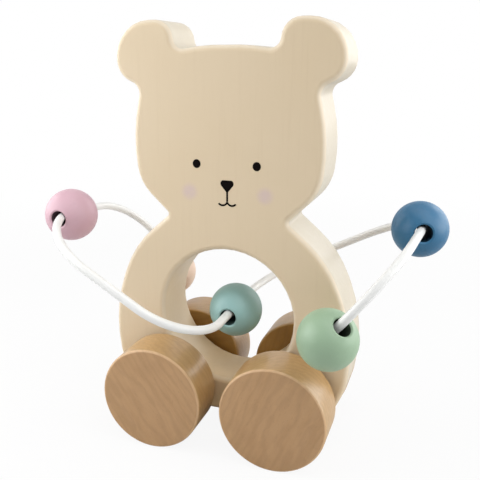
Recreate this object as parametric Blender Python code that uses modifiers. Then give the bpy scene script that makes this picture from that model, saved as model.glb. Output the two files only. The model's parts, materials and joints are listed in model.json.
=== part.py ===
"""A bear-shaped board on four wheels, with beads on a wire that loops through its belly.

Units are metres. X is the way the toy rolls, the bear's face looks along -Y and Z is up.
The origin is on the floor under the middle of the board.
"""

import math
from collections import namedtuple

import bmesh
import bpy
from mathutils import Matrix, Vector

# Wheels, axles and washers
WHEEL_RADIUS = 0.0225
WHEEL_WIDTH = 0.0192
WHEEL_EDGE = 0.0012
WHEEL_SPACING = 0.0086
WHEEL_BORE_DEPTH = 0.0120
AXLE_RADIUS = 0.0050
AXLE_PLAY = 0.0005
WASHER_RADIUS = 0.0090
WASHER_THICK = 0.0018

# Board
BOARD_THICK = 0.0255
BOARD_EDGE = 0.0026
AXLE_ABOVE_BASE = 0.0122
BELLY_RADIUS = 0.0295
BELLY_ABOVE_WHEELS = 0.0106

# Wire, with one half ending in the front of the right leg and one in the back of the left leg
WIRE_RADIUS = 0.0018
COATING_THICK = 0.00035
SOCKET_DEPTH = 0.0120
SOCKET_FROM_BELLY = {"front": 0.0105, "back": 0.0088}
SOCKET_DROP = {"front": 0.0035, "back": 0.0059}

# Beads
BEAD_RADIUS = 0.0118
BEAD_PLAY = 0.0017
BEAD_MOUTH = 0.0009

# Clearance between pieces that touch on the real toy
GAP = 0.0003

# Fineness of arcs and turned surfaces
ARC_TOLERANCE = 0.0001
LARGEST_ARC_STEP = math.radians(15)
WHEEL_STEPS = 36
BEAD_STEPS = 20
BEAD_ARC_STEPS = 10
DOWEL_STEPS = 20

# Places that follow from the sizes above
AXLE_HEIGHT = WHEEL_RADIUS
AXLE_X = WHEEL_RADIUS + WHEEL_SPACING / 2
BASE_HEIGHT = AXLE_HEIGHT - AXLE_ABOVE_BASE
BELLY_HEIGHT = 2 * WHEEL_RADIUS + BELLY_ABOVE_WHEELS
WHEEL_INNER_Y = BOARD_THICK / 2 + GAP + WASHER_THICK + GAP
BORE_RADIUS = WIRE_RADIUS + BEAD_PLAY

# Right half of the board's outline: across, height from the belly's centre, corner radius
HEAD_AND_BODY = (
    (0.0000, 0.1131, 0.0),
    (0.0119, 0.1127, 0.0905),
    (0.0220, 0.1109, 0.0045),
    (0.0229, 0.1230, 0.0088),
    (0.0490, 0.1229, 0.0150),
    (0.0482, 0.1007, 0.0097),
    (0.0377, 0.0967, 0.0048),
    (0.0425, 0.0765, 0.0719),
    (0.0396, 0.0559, 0.0200),
    (0.0260, 0.0431, 0.0015),
    (0.0438, 0.0279, 0.0483),
    (0.0560, -0.0037, 0.0690),
)
# The foot of the same half: across, height from the board's base, corner radius
FOOT = (
    (0.0521, 0.0183, 0.0272),
    (0.04345, 0.0000, 0.0125),
    (0.0000, 0.0000, 0.0),
)
# Corners of the wire from the middle of the belly outwards, each half as if it ran round the
# right side to the front: across, depth, height from the belly's centre, bend radius
LOOP_CORNERS = (
    (0.0000, 0.0485, 0.0000, 0.0260),
    (0.0813, 0.0410, 0.0428, 0.0357),
)
LEG_CORNER = {
    "front": (0.0700, -0.0552, 0.0343, 0.0297),
    "back": (0.0687, -0.0663, 0.0333, 0.0297),
}
LAST_CORNER_DEPTH = {"front": 0.0285, "back": 0.0235}
LAST_BEND_RADIUS = 0.0069

# The bends of half the wire in order, and the beads on them: which half of the wire, which of
# its bends, how far before the bend's end
BENDS = ("belly", "side", "leg", "last")
BEADS_ON_BENDS = {
    "bead_blue": ("front", "side", math.radians(21)),
    "bead_pink": ("back", "side", math.radians(8.5)),
    "bead_mint": ("front", "leg", math.radians(3.6)),
    "bead_salmon": ("back", "leg", math.radians(4.5)),
}
# What turns a half of the wire to where it lies
HALF_TURN = {"front": Matrix.Diagonal((1, 1, 1)), "back": Matrix.Diagonal((-1, -1, 1))}

# Finishes: colour, roughness, metallic
FINISHES = {
    "cream_paint": ((0.68, 0.54, 0.37), 0.45, 0.0),
    "beech": ((0.48, 0.32, 0.18), 0.55, 0.0),
    "white_plastic": ((0.90, 0.90, 0.87), 0.35, 0.0),
    "steel": ((0.55, 0.56, 0.58), 0.35, 1.0),
    "pink_paint": ((0.60, 0.37, 0.43), 0.35, 0.0),
    "teal_paint": ((0.24, 0.40, 0.37), 0.35, 0.0),
    "mint_paint": ((0.36, 0.55, 0.41), 0.35, 0.0),
    "blue_paint": ((0.07, 0.17, 0.29), 0.35, 0.0),
    "salmon_paint": ((0.68, 0.49, 0.38), 0.35, 0.0),
}

Bend = namedtuple("Bend", "centre axis first radius turn")


def arc_count(radius, turn):
    """Segments that keep an arc's chords within the tolerance."""
    step = min(2 * math.acos(max(1 - ARC_TOLERANCE / radius, 0.0)), LARGEST_ARC_STEP)
    return max(2, math.ceil(turn / step))


def bend_at(before, corner, after, radius):
    """The round bend that replaces a corner of a bent line."""
    back = (before - corner).normalized()
    ahead = (after - corner).normalized()
    half = back.angle(ahead) / 2
    centre = corner + (back + ahead).normalized() * radius / math.sin(half)
    first = corner + back * radius / math.tan(half) - centre
    return Bend(centre, first.cross(-back).normalized(), first, radius, math.pi - 2 * half)


def on_bend(bend, angle):
    """Offset from a bend's centre to its arc, at an angle from the arc's start."""
    return Matrix.Rotation(angle, 3, bend.axis) @ bend.first


def fitted_radii(corners, radii):
    """Bend radii, made smaller where two bends would need more than the straight between them."""
    runs = [(after - before).length for before, after in zip(corners, corners[1:])]
    needs = [0.0]
    for before, corner, after, radius in zip(corners, corners[1:], corners[2:], radii):
        needs.append(radius / math.tan((before - corner).angle(after - corner) / 2))
    needs.append(0.0)
    shares = [min(1.0, run / (first + last)) for run, first, last in zip(runs, needs, needs[1:])]
    return [radius * min(pair) for radius, pair in zip(radii, zip(shares, shares[1:]))]


def rounded_line(corners, radii):
    """Points along a line with round corners, and its bends; the two ends stay as they are."""
    points = [corners[0]]
    bends = []
    radii = fitted_radii(corners, radii)
    for before, corner, after, radius in zip(corners, corners[1:], corners[2:], radii):
        bend = bend_at(before, corner, after, radius)
        count = arc_count(radius, bend.turn)
        points += [bend.centre + on_bend(bend, bend.turn * i / count) for i in range(count + 1)]
        bends.append(bend)
    points.append(corners[-1])
    return points, bends


def link(obj, parent=None):
    """Put an object in the toy's collection, under a parent where it has one."""
    toy.objects.link(obj)
    if parent is not None:
        obj.parent = parent
        obj.matrix_parent_inverse = parent.matrix_world.inverted()
    return obj


def finish(obj, name):
    """Give an object a material of its own, so that pieces may share a mesh."""
    colour, roughness, metallic = FINISHES[name]
    material = bpy.data.materials.new(f"{obj.name}_{name}")
    material.use_nodes = True
    shader = material.node_tree.nodes["Principled BSDF"]
    shader.inputs["Base Color"].default_value = (*colour, 1.0)
    shader.inputs["Roughness"].default_value = roughness
    shader.inputs["Metallic"].default_value = metallic
    material.diffuse_color = (*colour, 1.0)
    if not obj.data.materials:
        obj.data.materials.append(None)
    obj.material_slots[0].link = "OBJECT"
    obj.material_slots[0].material = material


def place(obj, location, direction=Vector((0, 0, 1))):
    """Set an object down with its local Z along a direction."""
    obj.matrix_world = Matrix.Translation(location) @ direction.to_track_quat("Z", "X").to_matrix().to_4x4()


def profile_mesh(name, profile, closed):
    """A turned piece's profile: radius and height, down the outer side."""
    mesh = bpy.data.meshes.new(name)
    edges = [(i, i + 1) for i in range(len(profile) - 1)]
    if closed:
        edges.append((len(profile) - 1, 0))
    mesh.from_pydata([(radius, 0.0, height) for radius, height in profile], edges, [])
    return mesh


def turned(name, mesh, steps):
    """Turn a profile about its object's Z axis."""
    obj = bpy.data.objects.new(name, mesh)
    screw = obj.modifiers.new("turn", "SCREW")
    screw.steps = steps
    screw.render_steps = steps
    screw.use_smooth_shade = True
    screw.use_merge_vertices = True
    screw.merge_threshold = 0.00001
    return obj


def quarter_round(radius, height, size, start, steps=3):
    """Points of a quarter circle about (radius, height) that turns clockwise from an angle."""
    angles = [start - math.pi / 2 * i / steps for i in range(steps + 1)]
    return [(radius + size * math.cos(a), height + size * math.sin(a)) for a in angles]


def curve_object(name, dimensions):
    """An empty curve object in the toy's collection."""
    data = bpy.data.curves.new(name, "CURVE")
    data.dimensions = dimensions
    return bpy.data.objects.new(name, data)


def add_spline(curve, points, cyclic=False):
    """Add straight segments through points to a curve."""
    spline = curve.splines.new("POLY")
    spline.points.add(len(points) - 1)
    for control, point in zip(spline.points, points):
        control.co = (*point, 1.0)
    spline.use_cyclic_u = cyclic


def as_mesh(curve, weld=True):
    """Replace a curve object by a mesh object of the same name and place."""
    bpy.context.view_layer.update()
    graph = bpy.context.evaluated_depsgraph_get()
    mesh = bpy.data.meshes.new_from_object(curve.evaluated_get(graph))
    if weld:
        shape = bmesh.new()
        shape.from_mesh(mesh)
        bmesh.ops.remove_doubles(shape, verts=shape.verts, dist=0.000001)
        bmesh.ops.recalc_face_normals(shape, faces=shape.faces)
        shape.to_mesh(mesh)
        shape.free()
    name = curve.name
    matrix = curve.matrix_world.copy()
    bpy.data.objects.remove(curve, do_unlink=True)
    obj = bpy.data.objects.new(name, mesh)
    obj.matrix_world = matrix
    mesh.name = name
    return link(obj)


def drill(obj, name, radius, near, far):
    """Cut a round hole between two points."""
    along = far - near
    mesh = bpy.data.meshes.new(name)
    shape = bmesh.new()
    bmesh.ops.create_cone(shape, cap_ends=True, segments=DOWEL_STEPS,
                          radius1=radius, radius2=radius, depth=along.length)
    shape.to_mesh(mesh)
    shape.free()
    cutter = bpy.data.objects.new(name, mesh)
    cutters.objects.link(cutter)
    place(cutter, (near + far) / 2, along.normalized())
    cutter.hide_render = True
    cutter.display_type = "WIRE"
    cut = obj.modifiers.new(name, "BOOLEAN")
    cut.operation = "DIFFERENCE"
    cut.solver = "EXACT"
    cut.object = cutter


def board_outline():
    """The bear's outline, right half down and left half up, in the board's plane."""
    right = [(x, BELLY_HEIGHT + z, radius) for x, z, radius in HEAD_AND_BODY]
    right += [(x, BASE_HEIGHT + z, radius) for x, z, radius in FOOT]
    line, _ = rounded_line([Vector((x, z, 0)) for x, z, _ in right], [r for _, _, r in right[1:-1]])
    left = [Vector((-point.x, point.y, 0)) for point in reversed(line[1:-1])]
    return line[1:-1] + left


def belly_circle():
    """The round opening's edge."""
    count = arc_count(BELLY_RADIUS, 2 * math.pi)
    angles = [2 * math.pi * i / count for i in range(count)]
    return [Vector((BELLY_RADIUS * math.cos(a), BELLY_HEIGHT + BELLY_RADIUS * math.sin(a), 0)) for a in angles]


def make_board():
    """A thick flat board with rounded edges, two axle bores and two blind sockets for the wire."""
    curve = curve_object("body_plate", "2D")
    add_spline(curve.data, board_outline(), cyclic=True)
    add_spline(curve.data, belly_circle(), cyclic=True)
    curve.data.fill_mode = "BOTH"
    curve.data.extrude = BOARD_THICK / 2 - BOARD_EDGE
    curve.data.bevel_depth = BOARD_EDGE
    curve.data.bevel_resolution = 2
    curve.data.offset = -BOARD_EDGE
    curve.matrix_world = Matrix.Rotation(math.pi / 2, 4, "X")
    toy.objects.link(curve)
    board = as_mesh(curve)
    for side, word in ((-1, "left"), (1, "right")):
        axis = Vector((side * AXLE_X, 0, AXLE_HEIGHT))
        through = Vector((0, BOARD_THICK, 0))
        drill(board, f"axle_bore_{word}", AXLE_RADIUS + AXLE_PLAY, axis - through, axis + through)
    for half, turn in HALF_TURN.items():
        mouth = turn @ socket_point(half, -BOARD_THICK)
        floor = turn @ socket_point(half, SOCKET_DEPTH - BOARD_THICK / 2)
        drill(board, f"wire_socket_{half}", WIRE_RADIUS + GAP, mouth, floor)
    finish(board, "cream_paint")
    return board


def make_wheelset(word, side):
    """An axle dowel through the board, with a washer and a blind-bored wheel on each end."""
    middle = Vector((side * AXLE_X, 0, AXLE_HEIGHT))
    half = WHEEL_INNER_Y + WHEEL_BORE_DEPTH - GAP
    axle_profile = ((0, half), (AXLE_RADIUS, half), (AXLE_RADIUS, -half), (0, -half))
    axle = turned(f"axle_{word}", profile_mesh(f"axle_{word}", axle_profile, False), DOWEL_STEPS)
    link(axle)
    place(axle, middle, Vector((0, 1, 0)))
    finish(axle, "beech")
    bpy.context.view_layer.update()
    for end, place_word in ((-1, "front"), (1, "back")):
        outward = Vector((0, end, 0))
        wheel = turned(f"wheel_{place_word}_{word}", wheel_profile, WHEEL_STEPS)
        link(wheel, axle)
        place(wheel, middle + outward * (WHEEL_INNER_Y + WHEEL_WIDTH / 2), outward)
        finish(wheel, "beech")
        washer = turned(f"washer_{place_word}_{word}", washer_profile, DOWEL_STEPS)
        link(washer, axle)
        place(washer, middle + outward * (BOARD_THICK / 2 + GAP + WASHER_THICK / 2), outward)
        finish(washer, "beech")


def wheel_mesh():
    """A solid wheel with rounded rims and a blind bore from its inner face."""
    half = WHEEL_WIDTH / 2
    rim = WHEEL_RADIUS - WHEEL_EDGE
    bore = AXLE_RADIUS + GAP
    profile = [(0, half)]
    profile += quarter_round(rim, half - WHEEL_EDGE, WHEEL_EDGE, math.pi / 2)
    profile += quarter_round(rim, WHEEL_EDGE - half, WHEEL_EDGE, 0)
    profile += [(bore, -half), (bore, WHEEL_BORE_DEPTH - half), (0, WHEEL_BORE_DEPTH - half)]
    return profile_mesh("wheel", profile, False)


def washer_mesh():
    """A flat ring between wheel and board."""
    half = WASHER_THICK / 2
    inner = AXLE_RADIUS + AXLE_PLAY
    profile = ((WASHER_RADIUS, half), (WASHER_RADIUS, -half), (inner, -half), (inner, half))
    return profile_mesh("washer", profile, True)


def socket_point(half, depth):
    """A point on the axis of a half's socket."""
    return Vector((BELLY_RADIUS + SOCKET_FROM_BELLY[half], depth, BELLY_HEIGHT - SOCKET_DROP[half]))


def half_wire(half):
    """Points of half the wire, from the middle of the belly to its socket, and its named bends."""
    corners = [*LOOP_CORNERS, LEG_CORNER[half]]
    loop = [Vector((x, y, BELLY_HEIGHT + z)) for x, y, z, _ in corners]
    last = socket_point(half, -LAST_CORNER_DEPTH[half])
    end = socket_point(half, SOCKET_DEPTH - GAP - BOARD_THICK / 2)
    radii = [radius for _, _, _, radius in corners] + [LAST_BEND_RADIUS]
    points, bends = rounded_line([Vector((0, 0, BELLY_HEIGHT)), *loop, last, end], radii)
    return points, dict(zip(BENDS, bends))


def make_wire(path):
    """A steel wire in a plastic coating, both bent along one path."""
    core_curve = curve_object("wire_core", "3D")
    add_spline(core_curve.data, path)
    core_curve.data.bevel_depth = WIRE_RADIUS - COATING_THICK - GAP
    core_curve.data.bevel_resolution = 2
    core_curve.data.use_fill_caps = True
    toy.objects.link(core_curve)
    core = as_mesh(core_curve)
    core.data.shade_smooth()
    finish(core, "steel")

    coating_curve = curve_object("wire_coating", "3D")
    add_spline(coating_curve.data, path)
    coating_curve.data.bevel_depth = WIRE_RADIUS
    coating_curve.data.bevel_resolution = 3
    toy.objects.link(coating_curve)
    coating = as_mesh(coating_curve, weld=False)
    coating.data.shade_smooth()
    wall = coating.modifiers.new("wall", "SOLIDIFY")
    wall.thickness = COATING_THICK
    wall.offset = -1.0
    finish(coating, "white_plastic")


def bead_mesh():
    """A round bead with a bore whose mouths are rounded."""
    mouth = BORE_RADIUS + BEAD_MOUTH
    half = math.sqrt(BEAD_RADIUS ** 2 - mouth ** 2)
    top = math.acos(half / BEAD_RADIUS)
    angles = [top + (math.pi - 2 * top) * i / BEAD_ARC_STEPS for i in range(BEAD_ARC_STEPS + 1)]
    profile = [(BEAD_RADIUS * math.sin(a), BEAD_RADIUS * math.cos(a)) for a in angles]
    profile += quarter_round(mouth, BEAD_MOUTH - half, BEAD_MOUTH, -math.pi / 2, 2)[1:]
    profile += quarter_round(mouth, half - BEAD_MOUTH, BEAD_MOUTH, math.pi, 2)[:-1]
    return profile_mesh("bead", profile, True)


def bore_room():
    """How far a bead's centre may lie off the wire's: the play, less the facets and the gap."""
    return BORE_RADIUS * math.cos(math.pi / BEAD_STEPS) - WIRE_RADIUS - GAP


def make_bead(name, centre, direction, parent=None):
    """One bead with its bore along a direction."""
    bead = turned(name, bead_profile, BEAD_STEPS)
    link(bead, parent)
    place(bead, centre, direction)
    finish(bead, name.removeprefix("bead_") + "_paint")


def make_bead_on_bend(name, bend, before_end, turn):
    """A bead on a bend of the wire, under an empty on the bend's axis."""
    radial = on_bend(bend, bend.turn - before_end)
    along = bend.axis.cross(radial).normalized()
    straight_bore = math.sqrt(BEAD_RADIUS ** 2 - (BORE_RADIUS + BEAD_MOUTH) ** 2) - BEAD_MOUTH
    sagitta = bend.radius - math.sqrt(bend.radius ** 2 - straight_bore ** 2)
    hang = math.sqrt(max(bore_room() ** 2 - (sagitta / 2) ** 2, 0.0))
    down = bend.axis * math.copysign(hang, -bend.axis.z)
    centre = bend.centre + radial * (1 - sagitta / 2 / bend.radius) + down
    pivot = bpy.data.objects.new(f"{name}_pivot", None)
    pivot.empty_display_size = BEAD_RADIUS
    link(pivot)
    place(pivot, turn @ bend.centre, turn @ bend.axis)
    bpy.context.view_layer.update()
    make_bead(name, turn @ centre, turn @ along, pivot)


for old in list(bpy.data.objects):
    bpy.data.objects.remove(old, do_unlink=True)
toy = bpy.data.collections.new("bear_bead_toy")
cutters = bpy.data.collections.new("cutters")
bpy.context.scene.collection.children.link(toy)
bpy.context.scene.collection.children.link(cutters)

make_board()

wheel_profile = wheel_mesh()
washer_profile = washer_mesh()
make_wheelset("left", -1)
make_wheelset("right", 1)

wire_halves = {half: half_wire(half) for half in HALF_TURN}
back_run = [HALF_TURN["back"] @ point for point in reversed(wire_halves["back"][0])]
make_wire(back_run[:-1] + wire_halves["front"][0][1:])

bead_profile = bead_mesh()
make_bead("bead_teal", Vector((0, 0, BELLY_HEIGHT - bore_room())), Vector((0, 1, 0)))
for bead_name, (wire_half, bend_name, resting) in BEADS_ON_BENDS.items():
    wire_bend = wire_halves[wire_half][1][bend_name]
    make_bead_on_bend(bead_name, wire_bend, resting, HALF_TURN[wire_half])
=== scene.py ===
"""A wooden bear on wheels with painted beads on a bent wire, as it looks on a white sweep."""

import json
import math

import bmesh
import bpy
from mathutils import Matrix, Vector


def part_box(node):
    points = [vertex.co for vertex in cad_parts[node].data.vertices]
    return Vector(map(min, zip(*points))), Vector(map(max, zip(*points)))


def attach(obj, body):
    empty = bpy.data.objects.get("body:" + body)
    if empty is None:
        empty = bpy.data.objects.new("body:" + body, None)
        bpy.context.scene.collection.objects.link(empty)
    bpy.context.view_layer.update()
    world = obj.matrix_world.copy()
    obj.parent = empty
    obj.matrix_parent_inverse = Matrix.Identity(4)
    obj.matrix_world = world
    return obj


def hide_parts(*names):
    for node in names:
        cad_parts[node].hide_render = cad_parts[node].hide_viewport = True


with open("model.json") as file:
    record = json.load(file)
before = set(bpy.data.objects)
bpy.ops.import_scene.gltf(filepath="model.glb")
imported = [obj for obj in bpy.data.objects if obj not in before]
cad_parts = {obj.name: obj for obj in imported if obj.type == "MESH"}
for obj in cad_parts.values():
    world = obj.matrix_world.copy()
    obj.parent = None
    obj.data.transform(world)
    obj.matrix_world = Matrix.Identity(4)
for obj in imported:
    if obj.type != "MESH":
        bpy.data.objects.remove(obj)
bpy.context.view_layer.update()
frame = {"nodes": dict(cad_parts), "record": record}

# The bear
# Sawn in one piece from a thick beech board, with a round opening bored through the belly.
# Its edges are rounded over with a router, and it is sprayed with a satin cream paint.

BOARD_EDGE = 0.0026
EDGE_SEGMENTS = 8
SOLID_WELD = 0.000005
OUTLINE_WELD = 0.0003
CUT_TOLERANCE = 0.0000001
SEAM_TOLERANCE = 0.00001
STRAIGHT = math.radians(0.5)
AXLE_X = 0.0268
AXLE_HEIGHT = 0.0225
AXLE_HOLE_REACH = 0.007
BELLY_MIDDLE = 0.0556
BELLY_WALL_END = 0.031
OUTER_SIDE_START = 0.036
FEET_SHADE_LOW = 0.014
FEET_SHADE_HIGH = 0.044
FACE_X = 0.0006
CHEEK_X = 0.0165
CHEEK_HEIGHT = 0.1094
CHEEK_RADIUS = 0.0042
CREAM = (0.69, 0.56, 0.385)
CREAM_PALE = (0.73, 0.61, 0.45)
CREAM_GRAIN = (0.57, 0.44, 0.28)
CREAM_BLUSH = (0.645, 0.505, 0.465)
CREAM_EDGE_HIGHLIGHT_TINT = (1.03, 1.08, 1.18)
CREAM_SIDE_SHEEN_TINT = (0.83, 0.915, 1.050)
CREAM_FEET_SHADE_TINT = (0.93, 0.82, 0.65)

board_low, board_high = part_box("body_plate")
front_y, back_y = board_low.y, board_high.y


def add_node(tree, kind, *ordered, settings=None, **named):
    """Add a shader node; each input is given a value, or the socket that feeds it."""
    made = tree.nodes.new(kind)
    for name, value in (settings or {}).items():
        setattr(made, name, value)
    inputs = dict(enumerate(ordered))
    inputs.update({name.replace("_", " "): value for name, value in named.items()})
    for key, value in inputs.items():
        if isinstance(value, bpy.types.NodeSocket):
            tree.links.new(value, made.inputs[key])
        else:
            made.inputs[key].default_value = value
    return made


def math_node(tree, operation, *values):
    """The result of a sum on one or two values."""
    return add_node(tree, "ShaderNodeMath", *values, settings={"operation": operation}).outputs[0]


def distance(tree, across, up):
    """How far a place is from a point, from how far it is off to the side and above."""
    squares = [math_node(tree, "POWER", offset, 2.0) for offset in (across, up)]
    return math_node(tree, "SQRT", math_node(tree, "ADD", *squares))


def mix_colours(tree, factor, first, second, blend="MIX"):
    """One colour mixed into another."""
    settings = {"data_type": "RGBA", "blend_type": blend}
    made = add_node(tree, "ShaderNodeMix", factor, settings=settings)
    for socket, value in ((made.inputs[6], first), (made.inputs[7], second)):
        if isinstance(value, bpy.types.NodeSocket):
            tree.links.new(value, socket)
        else:
            socket.default_value = (*value, 1.0)
    return made.outputs[2]


def ramp(tree, factor, low, high, start=0.0, end=1.0):
    """A value that goes smoothly from start to end while the factor goes from low to high."""
    settings = {"interpolation_type": "SMOOTHSTEP"}
    made = add_node(tree, "ShaderNodeMapRange", factor, low, high, start, end, settings=settings)
    return made.outputs[0]


def noise(tree, place, scale, detail=3.0, roughness=0.5, distortion=0.0):
    """Smooth noise at a scale, in waves a metre."""
    made = add_node(tree, "ShaderNodeTexNoise", Vector=place, Scale=scale, Detail=detail, Roughness=roughness,
                    Distortion=distortion)
    return made.outputs["Fac"]


def stretch(tree, place, scale=(1, 1, 1), turn=(0, 0, 0), shift=(0, 0, 0)):
    """Coordinates that are stretched, turned and then shifted, for a pattern with a direction."""
    return add_node(tree, "ShaderNodeMapping", place, Location=shift, Rotation=turn, Scale=scale).outputs[0]


def facing_back(tree, coordinates):
    """How far a surface faces the back, from 1 to -1 where it faces the front."""
    return add_node(tree, "ShaderNodeSeparateXYZ", coordinates.outputs["Normal"]).outputs["Y"]


def bump(tree, shader, height, distance):
    """Relief of a real depth on a surface."""
    made = add_node(tree, "ShaderNodeBump", Strength=1.0, Distance=distance, Height=height)
    tree.links.new(made.outputs[0], shader.inputs["Normal"])


def start_material(name, roughness, **sockets):
    """A material with a shader of its own; returns it with its tree, shader and coordinates."""
    material = bpy.data.materials.new(name)
    material.use_nodes = True
    tree = material.node_tree
    shader = tree.nodes["Principled BSDF"]
    shader.inputs["Roughness"].default_value = roughness
    for socket, value in sockets.items():
        shader.inputs[socket.replace("_", " ")].default_value = value
    coordinates = tree.nodes.new("ShaderNodeTexCoord")
    return material, tree, shader, coordinates


def add_piece(name, shape, materials, body, slot, *nodes, sharp=math.radians(30)):
    """Make a piece from a bmesh, let it ride on a body and stand for the nodes it replaces."""
    mesh = bpy.data.meshes.new(name)
    shape.to_mesh(mesh)
    shape.free()
    for material in materials:
        mesh.materials.append(material)
    mesh.shade_smooth()
    mesh.set_sharp_from_angle(angle=sharp)
    piece = bpy.data.objects.new(name, mesh)
    bpy.context.scene.collection.objects.link(piece)
    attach(piece, body)
    if nodes:
        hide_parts(*nodes)
    return piece


def cream_paint():
    """Satin cream paint over the board's grain, paler where it is handled, with blushed cheeks; painted light
    gives a painted highlight along the rounded edges, a paler painted sheen on the outer sides and painted
    shade at the feet.
    """
    material, tree, shader, coordinates = start_material("cream_paint", 0.5, Specular_IOR_Level=0.45)
    place = coordinates.outputs["Object"]
    across, _, up = add_node(tree, "ShaderNodeSeparateXYZ", place).outputs
    facing = facing_back(tree, coordinates)
    rounding = math_node(tree, "SUBTRACT", 1.0, math_node(tree, "ABSOLUTE", facing))

    drift = ramp(tree, noise(tree, place, 22.0), 0.35, 0.65)
    grain = noise(tree, stretch(tree, place, (520.0, 300.0, 26.0)), 1.0, detail=5.0, roughness=0.65)
    handled = ramp(tree, noise(tree, place, 160.0, detail=6.0, roughness=0.7), 0.50, 0.68, 0.0, 0.35)
    worn = math_node(tree, "MULTIPLY", ramp(tree, rounding, 0.08, 0.45), handled)
    colour = mix_colours(tree, math_node(tree, "MULTIPLY", drift, 0.22), CREAM, CREAM_PALE)
    colour = mix_colours(tree, ramp(tree, grain, 0.50, 0.78, 0.0, 0.17), colour, CREAM_GRAIN)
    colour = mix_colours(tree, worn, colour, CREAM_PALE)

    # Painted sheen: the outer side walls are tinted paler and cooler, as if lit from the side; the belly's
    # inner wall is left out.
    from_belly = distance(tree, across, math_node(tree, "SUBTRACT", up, BELLY_MIDDLE))
    outside = ramp(tree, from_belly, BELLY_WALL_END, OUTER_SIDE_START)
    side = math_node(tree, "MULTIPLY", ramp(tree, rounding, 0.45, 0.90), outside)
    # Painted highlight: a pale band along the middle of the rounded edges.
    edge = math_node(tree, "MULTIPLY", ramp(tree, rounding, 0.03, 0.25),
                     ramp(tree, rounding, 0.55, 0.90, 1.0, 0.0))
    # Painted shade: the board darker and warmer towards the bottom, round the feet between the wheels.
    painted_feet_shade = ramp(tree, up, FEET_SHADE_LOW, FEET_SHADE_HIGH, 1.0, 0.0)
    for where, tint in ((edge, CREAM_EDGE_HIGHLIGHT_TINT), (side, CREAM_SIDE_SHEEN_TINT), (painted_feet_shade, CREAM_FEET_SHADE_TINT)):
        colour = mix_colours(tree, where, colour, tint, blend="MULTIPLY")

    off_middle = math_node(tree, "ABSOLUTE", math_node(tree, "SUBTRACT", across, FACE_X))
    from_cheek = distance(tree, math_node(tree, "SUBTRACT", off_middle, CHEEK_X),
                          math_node(tree, "SUBTRACT", up, CHEEK_HEIGHT))
    cheek = ramp(tree, from_cheek, CHEEK_RADIUS * 0.3, CHEEK_RADIUS * 1.1, 0.9, 0.0)
    front = ramp(tree, facing, -0.98, -0.9, 1.0, 0.0)
    speckle = ramp(tree, noise(tree, place, 900.0), 0.30, 0.55, 0.75, 1.0)
    blush = math_node(tree, "MULTIPLY", math_node(tree, "MULTIPLY", cheek, front), speckle)
    colour = mix_colours(tree, blush, colour, CREAM_BLUSH)
    tree.links.new(colour, shader.inputs["Base Color"])

    orange_peel = noise(tree, place, 700.0, detail=2.0)
    satin = math_node(tree, "MULTIPLY", ramp(tree, orange_peel, 0.3, 0.7, 0.46, 0.56),
                      ramp(tree, rounding, 0.10, 0.70, 1.0, 0.75))
    tree.links.new(satin, shader.inputs["Roughness"])
    relief = math_node(tree, "ADD", orange_peel, math_node(tree, "MULTIPLY", grain, 1.6))
    bump(tree, shader, relief, 0.00003)
    return material


def everything(shape):
    """All that a shape has, for an operator that takes it together."""
    return shape.verts[:] + shape.edges[:] + shape.faces[:]


def only(kind, geometry):
    """The items of one kind out of an operator's mixed result."""
    return [item for item in geometry if isinstance(item, kind)]


def board_section():
    """The board's outline and opening as one flat face in two halves, cut at its middle."""
    shape = bmesh.new()
    shape.from_mesh(frame["nodes"]["body_plate"].data)
    bmesh.ops.remove_doubles(shape, verts=shape.verts, dist=SOLID_WELD)
    bmesh.ops.bisect_plane(shape, geom=everything(shape), plane_co=(0, 0, 0), plane_no=(0, 1, 0),
                           clear_inner=True, clear_outer=True, dist=CUT_TOLERANCE)
    bmesh.ops.remove_doubles(shape, verts=shape.verts, dist=OUTLINE_WELD)
    axle = Vector((AXLE_X, 0, AXLE_HEIGHT))
    holes = [vert for vert in shape.verts
             if (Vector((abs(vert.co.x), 0, vert.co.z)) - axle).length < AXLE_HOLE_REACH]
    bmesh.ops.delete(shape, geom=holes, context="VERTS")
    bmesh.ops.dissolve_limit(shape, angle_limit=STRAIGHT, verts=shape.verts[:], edges=shape.edges[:])
    bmesh.ops.triangle_fill(shape, edges=shape.edges[:], use_beauty=True, normal=(0, -1, 0))
    bmesh.ops.bisect_plane(shape, geom=everything(shape), plane_co=(0, 0, 0), plane_no=(1, 0, 0),
                           dist=SEAM_TOLERANCE)
    for side in (-1, 1):
        half = [face for face in shape.faces if face.calc_center_median().x * side > 0]
        bmesh.ops.dissolve_faces(shape, faces=half, use_verts=False)
    seam = [vert for vert in shape.verts if not vert.is_boundary]
    bmesh.ops.dissolve_limit(shape, angle_limit=STRAIGHT, verts=seam, edges=[])
    return shape


def is_rim(edge):
    """Whether an edge lies between a flat side of the board and the wall round it."""
    if len(edge.link_faces) != 2:
        return False
    one, other = (face.normal for face in edge.link_faces)
    return abs(one.y) + abs(other.y) > 0.9 and abs(one.dot(other)) < 0.5


bear = board_section()
bmesh.ops.translate(bear, verts=bear.verts, vec=(0, front_y, 0))
lifted = bmesh.ops.extrude_face_region(bear, geom=bear.faces[:])
bmesh.ops.translate(bear, verts=only(bmesh.types.BMVert, lifted["geom"]), vec=(0, back_y - front_y, 0))
bmesh.ops.recalc_face_normals(bear, faces=bear.faces)
rims = [edge for edge in bear.edges if is_rim(edge)]
bmesh.ops.bevel(bear, geom=rims, offset=BOARD_EDGE, offset_type="OFFSET", segments=EDGE_SEGMENTS, profile=0.5,
                affect="EDGES", clamp_overlap=False, material=-1, loop_slide=True)
board = add_piece("painted_bear", bear, [cream_paint()], "body", "cream_paint", "body_plate",
                  sharp=math.radians(60))
weighting = board.modifiers.new("flat faces", "WEIGHTED_NORMAL")
weighting.keep_sharp = True

# The printed face
# Two oval eyes, a rounded nose, a short line and a small mouth, pad-printed in black ink.
# The ink lies on the paint as a film with crisp edges.

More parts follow.
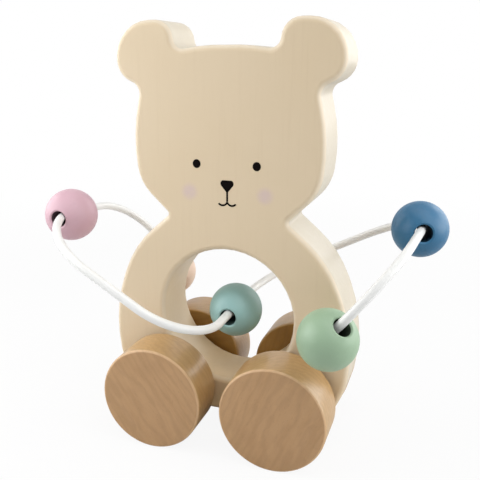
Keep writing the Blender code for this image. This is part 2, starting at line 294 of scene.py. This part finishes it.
INK = 0.00005
EYE_X = 0.0130
EYE_HEIGHT = 0.1213
EYE_HALF_SIZE = (0.00174, 0.00184)
EYE_SIDES = 48
MUZZLE_X = 0.0003
NOSE_OUTLINE = ((0.0022, 0.1150), (0.0029, 0.1141), (0.0028, 0.1130), (0.0016, 0.1116))
NOSE_TIP = 0.1097
NOSE_ROUNDING = 0.00045
NOSE_SEGMENTS = 8
LINE_TOP = 0.1108
LINE_BOTTOM = 0.1061
LINE_WIDTH = 0.0008
MOUTH_X = 0.00205
MOUTH_HEIGHT = 0.1067
MOUTH_RADIUS = 0.0022
MOUTH_OUTER = math.radians(50)
MOUTH_INNER = math.radians(70)
MOUTH_STEPS = 20
INK_BLACK = (0.003, 0.002, 0.002)
INK_THIN = (0.014, 0.010, 0.009)
FACE_SIDES = ((-1, "left"), (1, "right"))


def ink():
    """Matt black ink, uneven at a fine scale."""
    material, tree, shader, coordinates = start_material("black_ink", 0.7, Specular_IOR_Level=0.04)
    blotch = noise(tree, coordinates.outputs["Object"], 2500.0)
    colour = mix_colours(tree, ramp(tree, blotch, 0.4, 0.8, 0.0, 0.5), INK_BLACK, INK_THIN)
    tree.links.new(colour, shader.inputs["Base Color"])
    return material


def print_film(name, shape):
    """Give flat ink its thickness, half of it sunk in the paint, and print it on the board."""
    raised = bmesh.ops.extrude_face_region(shape, geom=shape.faces[:])
    bmesh.ops.translate(shape, verts=only(bmesh.types.BMVert, raised["geom"]), vec=(0, -2 * INK, 0))
    bmesh.ops.recalc_face_normals(shape, faces=shape.faces)
    add_piece(name, shape, [black_ink], "body", "cream_paint")


def to_front(across, up):
    """From a drawing in X and Y to the bear's front face."""
    return Matrix.Translation((FACE_X + across, front_y + INK, up)) @ Matrix.Rotation(math.pi / 2, 4, "X")


black_ink = ink()
for side, word in FACE_SIDES:
    eye = bmesh.new()
    oval = to_front(side * EYE_X, EYE_HEIGHT) @ Matrix.Diagonal((*EYE_HALF_SIZE, 1, 1))
    bmesh.ops.create_circle(eye, cap_ends=True, segments=EYE_SIDES, radius=1.0, matrix=oval)
    print_film(f"eye_print_{word}", eye)

nose = bmesh.new()
corners = [*NOSE_OUTLINE, (0.0, NOSE_TIP), *[(-x, z) for x, z in NOSE_OUTLINE[::-1]]]
nose.faces.new([nose.verts.new(to_front(MUZZLE_X + x, z).translation) for x, z in corners])
bmesh.ops.bevel(nose, geom=nose.verts[:], offset=NOSE_ROUNDING, segments=NOSE_SEGMENTS, profile=0.5,
                affect="VERTICES", material=-1)
print_film("nose_print", nose)

lip_line = bmesh.new()
bmesh.ops.create_grid(lip_line, x_segments=1, y_segments=1, size=0.5,
                      matrix=to_front(MUZZLE_X, (LINE_TOP + LINE_BOTTOM) / 2)
                      @ Matrix.Diagonal((LINE_WIDTH, LINE_TOP - LINE_BOTTOM, 1, 1)))
print_film("lip_line_print", lip_line)

for side, word in FACE_SIDES:
    smile = bmesh.new()
    start = math.pi * 1.5 - (MOUTH_OUTER if side < 0 else MOUTH_INNER)
    middle = to_front(MUZZLE_X + side * MOUTH_X, MOUTH_HEIGHT)
    ends = [smile.verts.new(middle @ Vector((radius * math.cos(start), radius * math.sin(start), 0)))
            for radius in (MOUTH_RADIUS - LINE_WIDTH / 2, MOUTH_RADIUS + LINE_WIDTH / 2)]
    stroke = smile.edges.new(ends)
    bmesh.ops.spin(smile, geom=[*ends, stroke], cent=middle.translation, axis=(0, -1, 0),
                   angle=MOUTH_OUTER + MOUTH_INNER, steps=MOUTH_STEPS)
    print_film(f"mouth_print_{word}", smile)

# The wheels
# Four thick discs turned from bare beech, with soft rims and a blind bore for the axle.
# Each is cut from the plank its own way, so its grain runs in its own direction.

WHEEL_EDGE = 0.0012
WHEEL_EDGE_STEPS = 8
WHEEL_STEPS = 96
WHEEL_FACE_RING = 0.5
WHEEL_BORE_RADIUS = 0.0053
WHEEL_BORE_DEPTH = 0.012
TURNED_WELD = 0.000002
WHEEL_GRAIN = {
    "wheel_front_left": math.radians(-56),
    "wheel_front_right": math.radians(66),
    "wheel_back_left": math.radians(20),
    "wheel_back_right": math.radians(75),
}
RINGS_MIDDLE = (0, 0.045, 0.020)
BEECH_LIGHT = (0.444, 0.258, 0.114)
BEECH_DARK = (0.390, 0.222, 0.094)
BEECH_FLECK = (0.27, 0.15, 0.07)
BEECH_RIM_SHEEN_TINT = (1.060, 1.140, 1.100)
BEECH_EDGE_HIGHLIGHT_TINT = (1.30, 1.42, 1.70)
BEECH_INNER_SHADE_TINT = (0.94, 0.85, 0.38)


def from_centre(tree, coordinates, centre):
    """Coordinates counted from a piece's own centre."""
    return stretch(tree, coordinates.outputs["Object"], shift=[-c for c in centre])


def beech(name, centre, turn, board_side=0):
    """Bare beech: faint rings and rays, fine fibres and dark flecks, polished on the rim; painted light makes
    the rim paler and golden as a painted sheen, adds a painted highlight along the rounded edges and painted
    shade on the face toward the board.
    """
    material, tree, shader, coordinates = start_material(name, 0.55, Specular_IOR_Level=0.8)
    place = stretch(tree, from_centre(tree, coordinates, centre), turn=turn)
    facing = facing_back(tree, coordinates)
    flat = math_node(tree, "ABSOLUTE", facing)

    rings_place = stretch(tree, place, (0.3, 1, 1), shift=RINGS_MIDDLE)
    ring_settings = {"wave_type": "RINGS", "rings_direction": "X", "wave_profile": "SIN"}
    rings = add_node(tree, "ShaderNodeTexWave", Vector=rings_place, Scale=130.0, Distortion=9.0, Detail=2.0,
                     Detail_Scale=1.2, Detail_Roughness=0.6, settings=ring_settings).outputs["Fac"]
    patch = noise(tree, stretch(tree, place, (0.6, 1, 1)), 190.0, detail=4.0)
    rays = noise(tree, stretch(tree, place, (90.0, 260.0, 260.0)), 1.0, detail=1.0, distortion=1.6)
    fibres = noise(tree, stretch(tree, place, (60.0, 900.0, 900.0)), 1.0, detail=4.0, roughness=0.6)
    flecks = noise(tree, stretch(tree, place, (500.0, 2600.0, 1600.0)), 1.0, detail=1.0)
    tone = math_node(tree, "ADD", math_node(tree, "MULTIPLY", rings, 0.22),
                     math_node(tree, "MULTIPLY", patch, 0.78))
    colour = mix_colours(tree, ramp(tree, tone, 0.28, 0.78), BEECH_LIGHT, BEECH_DARK)
    for where, shade in (
        (ramp(tree, rays, 0.54, 0.70, 0.0, 0.3), [1.12 * c for c in BEECH_LIGHT]),
        (ramp(tree, rings, 0.80, 0.98, 0.0, 0.45), BEECH_DARK),
        (ramp(tree, fibres, 0.45, 0.75, 0.0, 0.22), BEECH_DARK),
        (ramp(tree, flecks, 0.60, 0.72, 0.0, 0.22), BEECH_FLECK),
    ):
        colour = mix_colours(tree, where, colour, shade)

    # Painted sheen: the side-facing rim of each wheel is tinted paler and more golden, as if lit.
    painted_rim_sheen = ramp(tree, flat, 0.15, 0.85, 0.9, 0.0)
    # Painted highlight: a pale band along the rounded edges of the wheel.
    edge = math_node(tree, "MULTIPLY", ramp(tree, flat, 0.15, 0.55), ramp(tree, flat, 0.90, 0.99, 1.0, 0.0))
    # Painted shade: the face turned towards the board is darker and more saturated.
    painted_inner_shade = ramp(tree, math_node(tree, "MULTIPLY", facing, board_side), 0.7, 0.95)
    for where, tint in ((painted_rim_sheen, BEECH_RIM_SHEEN_TINT), (edge, BEECH_EDGE_HIGHLIGHT_TINT), (painted_inner_shade, BEECH_INNER_SHADE_TINT)):
        colour = mix_colours(tree, where, colour, tint, blend="MULTIPLY")
    tree.links.new(colour, shader.inputs["Base Color"])

    polish = math_node(tree, "MULTIPLY", ramp(tree, fibres, 0.3, 0.7, 0.5, 0.66),
                       ramp(tree, flat, 0.15, 0.85, 0.55, 1.0))
    tree.links.new(polish, shader.inputs["Roughness"])
    relief = math_node(tree, "SUBTRACT", fibres, math_node(tree, "MULTIPLY", rings, 0.3))
    bump(tree, shader, relief, 0.00004)
    return material


def quarter_round(radius, height, size, start, steps):
    """Points of a quarter circle, clockwise from an angle, about a centre on a turned profile."""
    angles = [start - math.pi / 2 * i / steps for i in range(steps + 1)]
    return [(radius + size * math.cos(a), height + size * math.sin(a)) for a in angles]


def turn_profile(profile, steps, closed=False):
    """A turned shape about Z from a profile of radius and height."""
    shape = bmesh.new()
    verts = [shape.verts.new((radius, 0, height)) for radius, height in profile]
    edges = [shape.edges.new(pair) for pair in zip(verts, verts[1:])]
    if closed:
        edges.append(shape.edges.new((verts[-1], verts[0])))
    bmesh.ops.spin(shape, geom=verts + edges, cent=(0, 0, 0), axis=(0, 0, 1), angle=2 * math.pi, steps=steps,
                   use_merge=True)
    bmesh.ops.remove_doubles(shape, verts=shape.verts, dist=TURNED_WELD)
    bmesh.ops.recalc_face_normals(shape, faces=shape.faces)
    return shape


def move_to(shape, centre, direction):
    """Set a turned shape down with its axis along a direction."""
    turn = Vector(direction).to_track_quat("Z", "X").to_matrix().to_4x4()
    bmesh.ops.transform(shape, matrix=Matrix.Translation(centre) @ turn, verts=shape.verts)


def middle_of(node):
    """A node's centre, half its height and half its width from front to back."""
    low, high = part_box(node)
    return (Vector(low) + Vector(high)) / 2, (high.z - low.z) / 2, (high.y - low.y) / 2


for name, grain in WHEEL_GRAIN.items():
    centre, radius, half = middle_of(name)
    outward = -1 if "front" in name else 1
    flat = radius - WHEEL_EDGE
    bore_end = WHEEL_BORE_DEPTH - half
    profile = [(0, half), (radius * WHEEL_FACE_RING, half)]
    profile += quarter_round(flat, half - WHEEL_EDGE, WHEEL_EDGE, math.pi / 2, WHEEL_EDGE_STEPS)
    profile += quarter_round(flat, WHEEL_EDGE - half, WHEEL_EDGE, 0, WHEEL_EDGE_STEPS)
    profile += [(WHEEL_BORE_RADIUS, -half), (WHEEL_BORE_RADIUS, bore_end), (0, bore_end)]
    wheel = turn_profile(profile, WHEEL_STEPS)
    move_to(wheel, centre, (0, outward, 0))
    body = "wheelset_left" if "left" in name else "wheelset_right"
    wood = beech(f"beech_{name}", centre, (0, grain, 0), -outward)
    add_piece(f"turned_{name}", wheel, [wood], body, "beech", name)

# Axles and washers
# A beech dowel is glued into each pair of wheels and turns in the board. A thin beech washer
# on each side keeps the wheel off the paint.

DOWEL_CHAMFER = 0.0004
DOWEL_STEPS = 48
WASHER_PLAY = 0.0005

dowel_wood = beech("beech_dowel", (0, 0, 0), (0, 0, math.pi / 2))
for side in ("left", "right"):
    centre, radius, half = middle_of(f"axle_{side}")
    hole = radius + WASHER_PLAY
    flat = radius - DOWEL_CHAMFER
    profile = [(0, half), (flat, half), (radius, half - DOWEL_CHAMFER), (radius, DOWEL_CHAMFER - half),
               (flat, -half), (0, -half)]
    dowel = turn_profile(profile, DOWEL_STEPS)
    move_to(dowel, centre, (0, 1, 0))
    add_piece(f"dowel_{side}", dowel, [dowel_wood], f"wheelset_{side}", "beech", f"axle_{side}")
    for place in ("front", "back"):
        centre, radius, half = middle_of(f"washer_{place}_{side}")
        flat = radius - DOWEL_CHAMFER
        profile = [(flat, half), (radius, half - DOWEL_CHAMFER), (radius, DOWEL_CHAMFER - half),
                   (flat, -half), (hole, -half), (hole, half)]
        washer = turn_profile(profile, DOWEL_STEPS, closed=True)
        move_to(washer, centre, (0, 1, 0))
        add_piece(f"beech_washer_{place}_{side}", washer, [dowel_wood], f"wheelset_{side}", "beech",
                  f"washer_{place}_{side}")

# The bead wire
# A steel wire in a smooth white plastic coating, bent cold round formers in one piece. It loops
# round both sides, passes through the belly and ends in a drilled socket in each leg.

WIRE_RADIUS = 0.0018
SOCKET_FLOOR = 0.00105
LOOP_CORNERS = ((0.0000, 0.0485, 0.0000, 0.0260), (0.0813, 0.0410, 0.0428, 0.0357))
FRONT_CORNERS = ((0.0700, -0.0552, 0.0343, 0.0297), (0.0400, -0.0285, -0.0035, 0.0069))
BACK_CORNERS = ((0.0687, -0.0663, 0.0333, 0.0297), (0.0383, -0.0235, -0.0059, 0.0069))
WIRE_SIDES = 24
BEND_STEP = math.radians(3)
WIRE_WELD = 0.000001
VINYL_WHITE = (0.80, 0.805, 0.795)
VINYL_CLOUD = (0.78, 0.785, 0.77)
VINYL_SCUFF = (0.66, 0.65, 0.62)
STEEL_DARK = (0.50, 0.51, 0.53)
STEEL_LIGHT = (0.62, 0.63, 0.65)


def white_plastic():
    """Smooth white vinyl, a little cloudy, with a few faint scuffs that dull it."""
    material, tree, shader, coordinates = start_material("white_plastic", 0.32, Specular_IOR_Level=0.5)
    place = coordinates.outputs["Object"]
    cloud = ramp(tree, noise(tree, place, 60.0), 0.35, 0.7)
    scuff = ramp(tree, noise(tree, place, 700.0, detail=5.0), 0.62, 0.74, 0.0, 0.05)
    colour = mix_colours(tree, cloud, VINYL_WHITE, VINYL_CLOUD)
    colour = mix_colours(tree, scuff, colour, VINYL_SCUFF)
    tree.links.new(colour, shader.inputs["Base Color"])
    tree.links.new(ramp(tree, scuff, 0.0, 0.05, 0.28, 0.36), shader.inputs["Roughness"])
    bump(tree, shader, noise(tree, place, 300.0), 0.000006)
    return material


def half_corners(leg_corners, half_turn):
    """Corners of half the wire from the belly outwards, ending on the socket's floor.

    Each is given by its X, its Y, its height above the belly's middle and its bend's radius.
    """
    run = [(Vector((x, y, BELLY_MIDDLE + above)), radius)
           for x, y, above, radius in (*LOOP_CORNERS, *leg_corners)]
    last = run[-1][0]
    run.append((Vector((last.x, -SOCKET_FLOOR, last.z)), 0.0))
    return [(half_turn @ point, radius) for point, radius in run]


def draw_straight(shape, ring, step):
    """Draw a tube's end ring out in a straight line; returns the new ring's verts and edges."""
    drawn = bmesh.ops.extrude_edge_only(shape, edges=ring)["geom"]
    verts = only(bmesh.types.BMVert, drawn)
    bmesh.ops.translate(shape, verts=verts, vec=step)
    return verts, only(bmesh.types.BMEdge, drawn)


def bend_wire(run):
    """A tube that runs straight, then is spun round the former at each corner."""
    shape = bmesh.new()
    here = run[0][0]
    heading = (run[1][0] - here).normalized()
    place = Matrix.Translation(here) @ heading.to_track_quat("Z", "X").to_matrix().to_4x4()
    bmesh.ops.create_circle(shape, segments=WIRE_SIDES, radius=WIRE_RADIUS, matrix=place)
    first_ring = shape.edges[:]
    ring = first_ring
    for (corner, radius), (after, _) in zip(run[1:], run[2:]):
        heading = (corner - here).normalized()
        leaving = (after - corner).normalized()
        turn = heading.angle(leaving)
        reach = radius * math.tan(turn / 2)
        verts, ring = draw_straight(shape, ring, corner - heading * reach - here)
        axis = heading.cross(leaving).normalized()
        former = corner - heading * reach + axis.cross(heading) * radius
        steps = math.ceil(turn / BEND_STEP)
        spun = bmesh.ops.spin(shape, geom=verts + ring, cent=former, axis=axis, angle=turn, steps=steps)
        ring = only(bmesh.types.BMEdge, spun["geom_last"])
        here = corner + leaving * reach
    _, last_ring = draw_straight(shape, ring, run[-1][0] - here)
    for end in (first_ring, last_ring):
        bmesh.ops.contextual_create(shape, geom=end)
    bmesh.ops.remove_doubles(shape, verts=shape.verts, dist=WIRE_WELD)
    bmesh.ops.recalc_face_normals(shape, faces=shape.faces)
    return shape


def drawn_steel():
    """Cold-drawn wire, with fine lines along it."""
    material, tree, shader, coordinates = start_material("drawn_steel", 0.35, Metallic=1.0)
    lines = noise(tree, stretch(tree, coordinates.outputs["Object"], (200.0, 3000.0, 3000.0)), 1.0)
    tree.links.new(mix_colours(tree, lines, STEEL_DARK, STEEL_LIGHT), shader.inputs["Base Color"])
    return material


back_half = half_corners(BACK_CORNERS, Matrix.Diagonal((-1, -1, 1)))
front_half = half_corners(FRONT_CORNERS, Matrix.Identity(3))
coating = bend_wire(back_half[::-1] + front_half)
add_piece("coated_wire", coating, [white_plastic()], "body", "white_plastic", "wire_coating")

core = frame["nodes"]["wire_core"]
core.data.materials.clear()
core.data.materials.append(drawn_steel())

# The beads
# Turned beech balls, drilled through and dipped in satin paint of five colours. Inside the
# bores the same paint is darkened as painted shade.

BEAD_RADIUS = 0.0118
BEAD_STEPS = 72
BEAD_ARC_STEPS = 40
BORE_RADIUS = 0.0035
BORE_MARGIN = 0.0001
BORE_ROUNDING = 0.0009
BORE_ROUNDING_STEPS = 6
BEAD_GRAIN = (500.0, 120.0, 500.0)
BEAD_GRAIN_TURN = (0.4, 0.9, 0.2)
BEAD_COLOURS = {
    "bead_pink": ((0.560, 0.348, 0.408), (0.612, 0.418, 0.468)),
    "bead_teal": ((0.262, 0.450, 0.438), (0.320, 0.522, 0.505)),
    "bead_mint": ((0.278, 0.405, 0.270), (0.321, 0.452, 0.317)),
    "bead_blue": ((0.016, 0.121, 0.243), (0.030, 0.158, 0.300)),
    "bead_salmon": ((0.745, 0.565, 0.435), (0.785, 0.620, 0.500)),
}
bead_joints = {joint["child"]: joint for joint in frame["record"]["behaviour"]["joints"]}


def bead_paint(name, colour, pale, centre):
    """Satin paint over wood: the grain just telegraphs, and the coat varies a little."""
    material, tree, shader, coordinates = start_material(f"paint_{name}", 0.42, Specular_IOR_Level=0.5)
    place = from_centre(tree, coordinates, centre)
    coat = ramp(tree, noise(tree, place, 70.0), 0.3, 0.75)
    grain = noise(tree, stretch(tree, place, BEAD_GRAIN, turn=BEAD_GRAIN_TURN), 1.0, detail=5.0)
    tone = mix_colours(tree, math_node(tree, "MULTIPLY", coat, 0.35), colour, pale)
    tone = mix_colours(tree, ramp(tree, grain, 0.55, 0.8, 0.0, 0.10), tone, [c * 0.7 for c in colour])
    tree.links.new(tone, shader.inputs["Base Color"])
    peel = noise(tree, place, 900.0, detail=2.0)
    tree.links.new(ramp(tree, peel, 0.3, 0.7, 0.38, 0.48), shader.inputs["Roughness"])
    bump(tree, shader, math_node(tree, "ADD", peel, grain), 0.00003)
    return material


def painted_bore_shade(name, colour, centre):
    """The bead's paint inside the bore, darkened to between a tenth and a fifth as painted shade, dull and
    mottled.
    """
    material, tree, shader, coordinates = start_material(f"bore_{name}", 0.85, Specular_IOR_Level=0.1)
    bore_mottle = noise(tree, from_centre(tree, coordinates, centre), 600.0, detail=4.0)
    tone = mix_colours(tree, bore_mottle, [c * 0.10 for c in colour], [c * 0.22 for c in colour])
    tree.links.new(tone, shader.inputs["Base Color"])
    bump(tree, shader, bore_mottle, 0.00005)
    return material


def drilled_ball():
    """A ball drilled through along Z, with rounded mouths; its bore takes the second material."""
    mouth = BORE_RADIUS + BORE_ROUNDING
    half = math.sqrt(BEAD_RADIUS ** 2 - mouth ** 2)
    top = math.acos(half / BEAD_RADIUS)
    angles = [top + (math.pi - 2 * top) * i / BEAD_ARC_STEPS for i in range(BEAD_ARC_STEPS + 1)]
    profile = [(BEAD_RADIUS * math.sin(a), BEAD_RADIUS * math.cos(a)) for a in angles]
    low_round = quarter_round(mouth, BORE_ROUNDING - half, BORE_ROUNDING, -math.pi / 2, BORE_ROUNDING_STEPS)
    high_round = quarter_round(mouth, half - BORE_ROUNDING, BORE_ROUNDING, math.pi, BORE_ROUNDING_STEPS)
    profile += low_round[1:] + high_round[:-1]
    ball = turn_profile(profile, BEAD_STEPS, closed=True)
    for face in ball.faces:
        if face.calc_center_median().xy.length < BORE_RADIUS + BORE_MARGIN:
            face.material_index = 1
    return ball


for name, (colour, pale) in BEAD_COLOURS.items():
    centre, _, _ = middle_of(name)
    joint = bead_joints[name]
    along = Vector(joint["axis"])
    if joint["type"] == "hinge":
        along = along.cross(centre - Vector(joint["pos_m"])).normalized()
    bead = drilled_ball()
    move_to(bead, centre, along)
    finish = [bead_paint(name, colour, pale, centre), painted_bore_shade(name, colour, centre)]
    add_piece(f"painted_{name}", bead, finish, name, name.removeprefix("bead_") + "_paint", name)

# The sweep, the lights and the camera
# A plain white sweep under large soft lights, with the camera in front of the toy, above it
# and a little to one side.

FLOOR_SIZE = 6.0
FLOOR_SHADE = 0.72
SHADOW_NEAR = 0.20
SHADOW_FAR = 0.60
SHADOW_SHARE = 0.09
WORLD_LEVEL = 0.09
WHITE = (1.0, 1.0, 1.0, 1.0)
LAMPS_AIM = Vector((0, 0, 0.09))
AREA_LIGHTS = {
    "right_softbox": ((0.85, 0.10, 0.24), (0.7, 0.7), 5.6),
    "front_softbox": ((0.50, -0.35, 0.75), (0.7, 0.7), 3.5),
    "back_softbox": ((0.55, 0.70, 0.25), (0.7, 0.7), 2.6),
    "high_softbox": ((0.45, 0.60, 0.55), (0.4, 0.4), 0.8),
    "top_softbox": ((0.0, 0.0, 1.0), (0.9, 0.7), 3.2),
    "left_softbox": ((-0.80, 0.0, 0.35), (0.7, 0.7), 3.8),
    "near_softbox": ((-0.22, -0.17, 0.20), (0.25, 0.25), 0.54),
}
CAMERA_PLACE = (0.09133, -0.25529, 0.16142)
CAMERA_YAW = math.radians(19.5)
CAMERA_PITCH = math.radians(13.95)
CAMERA_ROLL = math.radians(-0.17)
CAMERA_LENS = 48.27
CAMERA_SENSOR = 36.0
CAMERA_SHIFT = (0.0049, -0.0354)
CAMERA_CLIP = 0.01

sweep = bmesh.new()
bmesh.ops.create_grid(sweep, x_segments=1, y_segments=1, size=FLOOR_SIZE / 2)
floor_mesh = bpy.data.meshes.new("sweep")
sweep.to_mesh(floor_mesh)
sweep.free()
floor = bpy.data.objects.new("sweep", floor_mesh)
bpy.context.scene.collection.objects.link(floor)
white, tree, shader, coordinates = start_material("white_sweep", 0.9, Specular_IOR_Level=0.0)
shader.inputs["Base Color"].default_value = (FLOOR_SHADE, FLOOR_SHADE, FLOOR_SHADE, 1.0)
glow = add_node(tree, "ShaderNodeEmission", WHITE, 1.0)
rays = tree.nodes.new("ShaderNodeLightPath")
reach = add_node(tree, "ShaderNodeVectorMath", coordinates.outputs["Object"],
                 settings={"operation": "LENGTH"}).outputs["Value"]
clear_white = ramp(tree, reach, SHADOW_NEAR, SHADOW_FAR, 1.0 - SHADOW_SHARE, 1.0)
seen = math_node(tree, "MULTIPLY", rays.outputs["Is Camera Ray"], clear_white)
blend = add_node(tree, "ShaderNodeMixShader", seen, shader.outputs[0], glow.outputs[0])
tree.links.new(blend.outputs[0], tree.nodes["Material Output"].inputs["Surface"])
floor_mesh.materials.append(white)

world = bpy.data.worlds.new("studio")
bpy.context.scene.world = world
world.use_nodes = True
tree = world.node_tree
backdrop = tree.nodes["Background"]
backdrop.inputs["Color"].default_value = WHITE
rays = tree.nodes.new("ShaderNodeLightPath")
seen = math_node(tree, "MAXIMUM", rays.outputs["Is Camera Ray"], rays.outputs["Is Glossy Ray"])
seen = math_node(tree, "MAXIMUM", seen, rays.outputs["Is Transmission Ray"])
tree.links.new(ramp(tree, seen, 0.0, 1.0, WORLD_LEVEL, 1.0), backdrop.inputs["Strength"])

for name, (place, size, power) in AREA_LIGHTS.items():
    light = bpy.data.lights.new(name, "AREA")
    light.shape = "RECTANGLE"
    light.size, light.size_y = size
    light.energy = power
    lamp = bpy.data.objects.new(name, light)
    lamp.location = place
    lamp.rotation_euler = (LAMPS_AIM - Vector(place)).to_track_quat("-Z", "Y").to_euler()
    bpy.context.scene.collection.objects.link(lamp)

camera_data = bpy.data.cameras.new("camera")
camera_data.sensor_width = CAMERA_SENSOR
camera_data.lens = CAMERA_LENS
camera_data.shift_x, camera_data.shift_y = CAMERA_SHIFT
camera_data.clip_start = CAMERA_CLIP
camera = bpy.data.objects.new("camera", camera_data)
camera.matrix_world = (Matrix.Translation(CAMERA_PLACE) @ Matrix.Rotation(CAMERA_YAW, 4, "Z")
                       @ Matrix.Rotation(math.pi / 2 - CAMERA_PITCH, 4, "X")
                       @ Matrix.Rotation(CAMERA_ROLL, 4, "Z"))
bpy.context.scene.collection.objects.link(camera)
bpy.context.scene.camera = camera
bpy.context.scene.view_settings.view_transform = "Standard"
